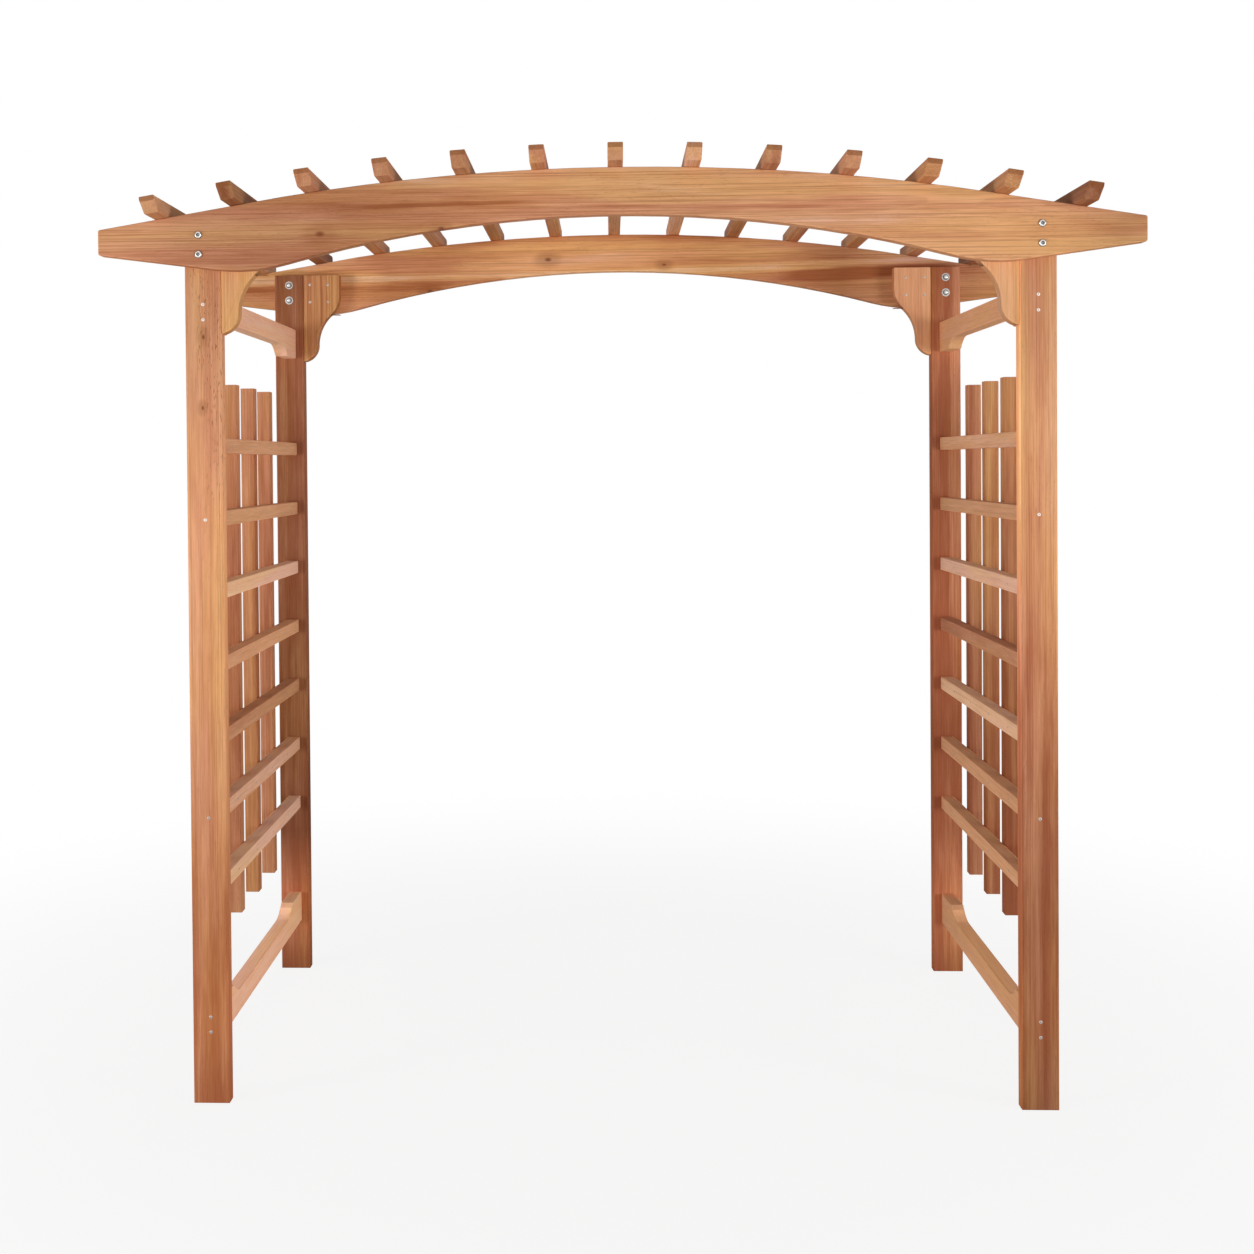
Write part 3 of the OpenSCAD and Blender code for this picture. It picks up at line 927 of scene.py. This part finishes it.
# Points on a ring, the sides of a hexagon, and the arms of a cross, with the shares of its reach
# that its core and its arms have.
ROUND = 48
HEXAGON = 6
CROSS = 4
CROSS_CORE = 0.34
CROSS_ARM = 0.66
CROSS_SHARPNESS = 6
CREASE_ANGLE = math.radians(40)

# Profiles, ring by ring from the wood outwards: shares of the radius and of the height, the ring's
# shape, and its shade, a painted shade that is low in sockets and recesses and at rims that meet
# the wood and the nut.
# A button head: a thin flange, a low dome and a hexagon socket.
BUTTON_HEAD = [
    (1.0, 0.0, "round", 0.05),
    (1.0, 0.2, "round", 0.1),
    (0.95, 0.36, "round", 0.3),
    (0.86, 0.6, "round", 0.7),
    (0.76, 0.86, "round", 0.95),
    (0.64, 1.0, "round", 0.95),
    (0.52, 1.0, "round", 0.75),
    (0.46, 0.93, "hexagon", 0.15),
    (0.46, 0.3, "hexagon", 0.05),
    (0.1, 0.24, "round", 0.4),
]
# A flat washer with a rounded rim, with painted shade where the wood meets it and where the nut
# does.
WASHER = [
    (1.0, 0.0, "round", 0.15),
    (1.0, 0.5, "round", 0.5),
    (0.96, 1.0, "round", 0.95),
    (0.76, 1.0, "round", 1.0),
    (0.66, 1.0, "round", 0.2),
]
# A flat screw head, just proud of the wood, with a cross recess. Its height is told in radii.
SCREW_HEAD = [
    (1.0, -0.3, "round", 0.3),
    (1.0, 0.06, "round", 0.5),
    (0.94, 0.12, "round", 0.9),
    (0.78, 0.15, "round", 1.0),
    (0.6, 0.15, "cross", 0.8),
    (0.5, -0.2, "cross", 0.15),
]
# A small flat nail head, with its height in radii too.
NAIL_HEAD = [
    (1.0, -0.3, "round", 0.4),
    (1.0, 0.08, "round", 0.7),
    (0.85, 0.16, "round", 1.0),
]
SHANK_SHADE = 0.8


def rings_of(profile, radius, height):
    return [(across * radius, up * height, shape, shade) for across, up, shape, shade in profile]


def nut_rings(bolt_radius):
    """A hexagon nut on its washer, with the bolt's rounded end standing out of it."""
    nut, thread = NUT_SHARE * bolt_radius, THREAD_SHARE * bolt_radius
    top = WASHER_H + NUT_H
    # Each ring's last value is its painted shade.
    return [
        (nut, 0.5 * WASHER_H, "hexagon", 0.1),
        (nut, WASHER_H + 0.8 * NUT_H, "hexagon", 0.4),
        (0.92 * nut, top, "hexagon", 0.75),
        (thread, top, "round", 0.3),
        (thread, top + 0.6 * BOLT_STUB, "round", 0.7),
        (0.75 * thread, top + BOLT_STUB, "round", 1.0),
    ]


def ring_points(radius, height, shape):
    """One ring of a turned head: round, a hexagon, or a cross."""
    points = []
    for i in range(ROUND):
        turn = 2 * math.pi * i / ROUND
        reach = radius
        if shape == "hexagon":
            side = math.pi / HEXAGON
            reach *= math.cos(side) / math.cos(turn % (2 * side) - side)
        if shape == "cross":
            arm = abs(math.cos(CROSS / 2 * turn)) ** CROSS_SHARPNESS
            reach *= CROSS_CORE + CROSS_ARM * arm
        points.append((reach * math.cos(turn), reach * math.sin(turn), height))
    return points


def add_turned(bm, rings, place):
    """A solid of rings, closed at both ends, set at a place matrix. Each ring has its own shade."""
    shades = bm.verts.layers.float.get("shade") or bm.verts.layers.float.new("shade")
    loops = []
    for radius, height, shape, shade in rings:
        loop = [bm.verts.new(place @ Vector(p)) for p in ring_points(radius, height, shape)]
        for vert in loop:
            vert[shades] = shade
        loops.append(loop)
    for low, high in zip(loops, loops[1:]):
        for i in range(ROUND):
            j = (i + 1) % ROUND
            bm.faces.new((low[i], low[j], high[j], high[i]))
    bm.faces.new(list(reversed(loops[0])))
    bm.faces.new(loops[-1])


def facing(point, normal, spin=0.0):
    """A matrix that stands a head on a surface: its z goes out along the normal."""
    turn = normal.to_track_quat("Z", "Y").to_matrix().to_4x4()
    return Matrix.Translation(point) @ turn @ Matrix.Rotation(spin, 4, "Z")


def finish_metal(bm, name, material, *nodes):
    mesh = bpy.data.meshes.new(name)
    bmesh.ops.recalc_face_normals(bm, faces=bm.faces)
    bm.to_mesh(mesh)
    bm.free()
    mesh.materials.append(material)
    for face in mesh.polygons:
        face.use_smooth = True
    mesh.set_sharp_from_angle(angle=CREASE_ANGLE)
    piece = add_object(name, mesh)
    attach(piece, "root")
    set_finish(piece, "zinc_bolts")
    if nodes:
        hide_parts(*nodes)


def add_bolts(corner, material):
    """Both bolts of a corner: a button head outside, and a washer and a nut inside."""
    node = "bolts_" + corner
    low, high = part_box(node)
    radius = (high.x - low.x) / 2
    x = (low.x + high.x) / 2
    outward = FACES[corner.split("_")[0]]
    outer_y, inner_y = (low.y, high.y) if outward < 0 else (high.y, low.y)
    outer_y -= outward * BOLT_HEAD_H
    inner_y += outward * BOLT_HEAD_H
    chance = random.Random(node)
    bm = bmesh.new()
    for z in (low.z + radius, high.z - radius):
        outer, inner = Vector((x, outer_y, z)), Vector((x, inner_y, z))
        length = (inner - outer).length
        shank = [(SHANK_SHARE * radius, end, "round", SHANK_SHADE) for end in (0.0, length)]
        add_turned(bm, shank, facing(outer, Y * -outward))
        head_place = facing(outer, Y * outward, chance.uniform(0, math.pi))
        add_turned(bm, rings_of(BUTTON_HEAD, radius, BOLT_HEAD_H), head_place)
        nut_place = facing(inner, Y * -outward, chance.uniform(0, math.pi))
        add_turned(bm, rings_of(WASHER, WASHER_R, WASHER_H), nut_place)
        add_turned(bm, nut_rings(radius), nut_place)
    finish_metal(bm, "bolt_heads_" + corner, material, node)


def add_heads(name, profile, radius, spots, material):
    """One joined piece of like heads, each at a (point, normal)."""
    chance = random.Random(name)
    bm = bmesh.new()
    for point, normal in spots:
        # Heads below that height are darker.
        lower_shade = 1.0 if point.z > DARKER_BELOW else LOW_SHADE
        shaded_rings = [(*ring, lower_shade * shade) for *ring, shade in rings_of(profile, radius, radius)]
        add_turned(bm, shaded_rings, facing(point, normal, chance.uniform(0, math.pi)))
    finish_metal(bm, name, material)


def middle(node):
    low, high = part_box(node)
    return (low + high) / 2


def batten_heights(side):
    """The middle height of each batten on a side, lowest first."""
    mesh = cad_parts["battens_" + side].data
    levels = sorted({round(v.co.z, LEVEL_DIGITS) for v in mesh.vertices})
    return [(a + b) / 2 for a, b in zip(levels[0::2], levels[1::2])]


def post_screw_heights(side):
    """Two screws hold each rail, and one holds the second batten from either end."""
    heights = []
    for rail in ("top_rail_", "bottom_rail_"):
        centre = middle(rail + side).z
        heights += [centre - RAIL_SCREW_SPREAD / 2, centre + RAIL_SCREW_SPREAD / 2]
    battens = batten_heights(side)
    return heights + [battens[1], battens[-2]]


def add_post_screws(corner, material):
    face, side = corner.split("_")
    low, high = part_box("post_" + corner)
    y = low.y if face == "front" else high.y
    x = (low.x + high.x) / 2
    spots = [(Vector((x, y, z)), Y * FACES[face]) for z in post_screw_heights(side)]
    add_heads("post_screws_" + corner, SCREW_HEAD, SCREW_R, spots, material)


def add_bracket_screws(corner, material):
    face, side = corner.split("_")
    low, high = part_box("bracket_" + corner)
    y = high.y if face == "front" else low.y
    edge = low.x if side == "left" else high.x
    spots = []
    for across in BRACKET_SCREWS_ACROSS:
        for down in BRACKET_SCREWS_DOWN:
            point = Vector((edge - SIDES[side] * across, y, high.z - down))
            spots.append((point, Y * -FACES[face]))
    add_heads("bracket_screws_" + corner, SCREW_HEAD, SCREW_R, spots, material)


def add_batten_nails(side, material):
    """A nail at each crossing, driven through the batten into the picket behind it."""
    low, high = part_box("battens_" + side)
    x = high.x if side == "left" else low.x
    pickets = sorted(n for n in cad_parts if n.startswith("picket_" + side))
    spots = []
    for picket in pickets:
        for z in batten_heights(side):
            spots.append((Vector((x, middle(picket).y, z)), X * -SIDES[side]))
    add_heads("batten_nails_" + side, NAIL_HEAD, NAIL_R, spots, material)


def add_rafter_screws(material):
    """A screw down through each rafter into each beam."""
    spots = []
    for node in sorted(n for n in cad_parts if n.startswith("rafter_")):
        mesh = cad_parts[node].data
        sides = [face for face in mesh.polygons if abs(face.normal.y) < SIDE_COSINE]
        top = max(sides, key=lambda face: face.normal.z)
        corners = [v.co for v in mesh.vertices if abs((v.co - top.center).dot(top.normal)) < WELD]
        centre = sum(corners, Vector()) / len(corners)
        for beam in ("beam_front", "beam_back"):
            point = Vector((centre.x, middle(beam).y, centre.z))
            spots.append((point, top.normal.copy()))
    add_heads("rafter_screws", SCREW_HEAD, SCREW_R, spots, material)


# ---------------------------------------------------------------- the arbor


def find_bolt_axes():
    """The x, z and radius of each bolt."""
    axes = []
    for corner in CORNERS:
        low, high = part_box("bolts_" + corner)
        radius = (high.x - low.x) / 2
        for z in (low.z + radius, high.z - radius):
            axes.append(((low.x + high.x) / 2, z, radius))
    return axes


def build_arbor():
    bolt_axes = find_bolt_axes()
    finishes = {}
    for node in sorted(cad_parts):
        if not node.startswith("bolts_"):
            board, log = add_board(node, bolt_axes)
            finish_board(node, board, log, finishes)
    metals = {name: zinc(name, srgb(*tint), rough) for name, (tint, rough) in METALS.items()}
    for corner in CORNERS:
        add_bolts(corner, metals["bright_zinc"])
        add_post_screws(corner, metals["dull_zinc"])
        add_bracket_screws(corner, metals["tarnished_zinc"])
    for side in SIDES:
        add_batten_nails(side, metals["tarnished_zinc"])
    add_rafter_screws(metals["dull_zinc"])


# ---------------------------------------------------------------- stage, light and camera

FLOOR_SIZE = 60
FLOOR_COLOUR = srgb(244, 243, 241)
WHITE = (1, 1, 1, 1)
WORLD_LIGHT = 0.31
# Each lamp's place, target, size and power.
LAMPS = {
    "key_left": ((-5.6, -3.2, 1.1), (0, 0, 1.3), (2.0, 2.0), 150),
    "key_right": ((5.6, -3.2, 1.1), (0, 0, 1.3), (2.0, 2.0), 150),
    "front_fill": ((0, -5.4, 0.9), (0, 0, 1.6), (3.5, 1.6), 32),
    "rear_fill": ((0, 4.6, 2.6), (0, 0, 1.2), (3.0, 2.0), 30),
}
SENSOR_WIDTH = 36
LENS = 45.8
SHIFT = (0.0658, -0.1099)
CLIP_END = 100
EYE = (-0.016, -4.362, 1.548)
YAW, PITCH, ROLL = (math.radians(angle) for angle in (-2.38, -0.89, -0.46))


def add_floor():
    """A pale floor that fades to plain white, and keeps the arbor's shadow near it."""
    bpy.ops.mesh.primitive_plane_add(size=FLOOR_SIZE)
    floor = bpy.context.object
    floor.name = "floor"
    material, g = new_material("pale_floor")
    distance = g.length(g.node("ShaderNodeTexCoord").outputs["Object"])
    share = g.times(g.seen_directly(), g.step(distance, "floor turns white"))
    matte = g.node("ShaderNodeBsdfDiffuse", FLOOR_COLOUR)
    white = g.node("ShaderNodeEmission", WHITE, 1.0)
    mixed = g.node("ShaderNodeMixShader", share, matte.outputs[0], white.outputs[0])
    g.show(mixed)
    floor.data.materials.append(material)


def set_world():
    """A soft light, stronger from the front and weaker from above, that is seen as white."""
    world = bpy.data.worlds.new("studio")
    bpy.context.scene.world = world
    world.use_nodes = True
    world.node_tree.nodes.clear()
    g = Graph(world.node_tree)
    seen = g.seen_directly()
    _, back, up = g.split(g.node("ShaderNodeTexCoord").outputs["Generated"])
    slopes = g.step(back, "world front to back"), g.step(up, "world level to top")
    light = g.times(*slopes, WORLD_LIGHT)
    strength = g.plus(seen, g.times(g.minus(1.0, seen), light))
    background = g.node("ShaderNodeBackground", WHITE, strength)
    g.show(background, "ShaderNodeOutputWorld")


def add_lamp(name, place, target, size, power):
    light = bpy.data.lights.new(name, "AREA")
    light.shape = "RECTANGLE"
    light.size, light.size_y = size
    light.energy = power
    lamp = add_object(name, light)
    lamp.location = place
    lamp.rotation_euler = (Vector(target) - Vector(place)).to_track_quat("-Z", "Y").to_euler()
    lamp.visible_camera = False


def add_camera():
    """A nearly level view from just left of the middle, with the framing set by a shift."""
    camera = bpy.data.cameras.new("camera")
    camera.sensor_width = SENSOR_WIDTH
    camera.lens = LENS
    camera.shift_x, camera.shift_y = SHIFT
    camera.clip_end = CLIP_END
    eye = add_object("camera", camera)
    eye.location = EYE
    forward = math.cos(PITCH)
    ahead = Vector((math.sin(YAW) * forward, math.cos(YAW) * forward, math.sin(PITCH)))
    level = Vector((math.cos(YAW), -math.sin(YAW), 0))
    upright = level.cross(ahead)
    right = level * math.cos(ROLL) + upright * math.sin(ROLL)
    up = upright * math.cos(ROLL) - level * math.sin(ROLL)
    eye.rotation_euler = Matrix((right, up, -ahead)).transposed().to_euler()
    bpy.context.scene.camera = eye


build_arbor()
add_floor()
set_world()
for lamp_name, settings in LAMPS.items():
    add_lamp(lamp_name, *settings)
add_camera()
bpy.context.scene.view_settings.view_transform = "Standard"
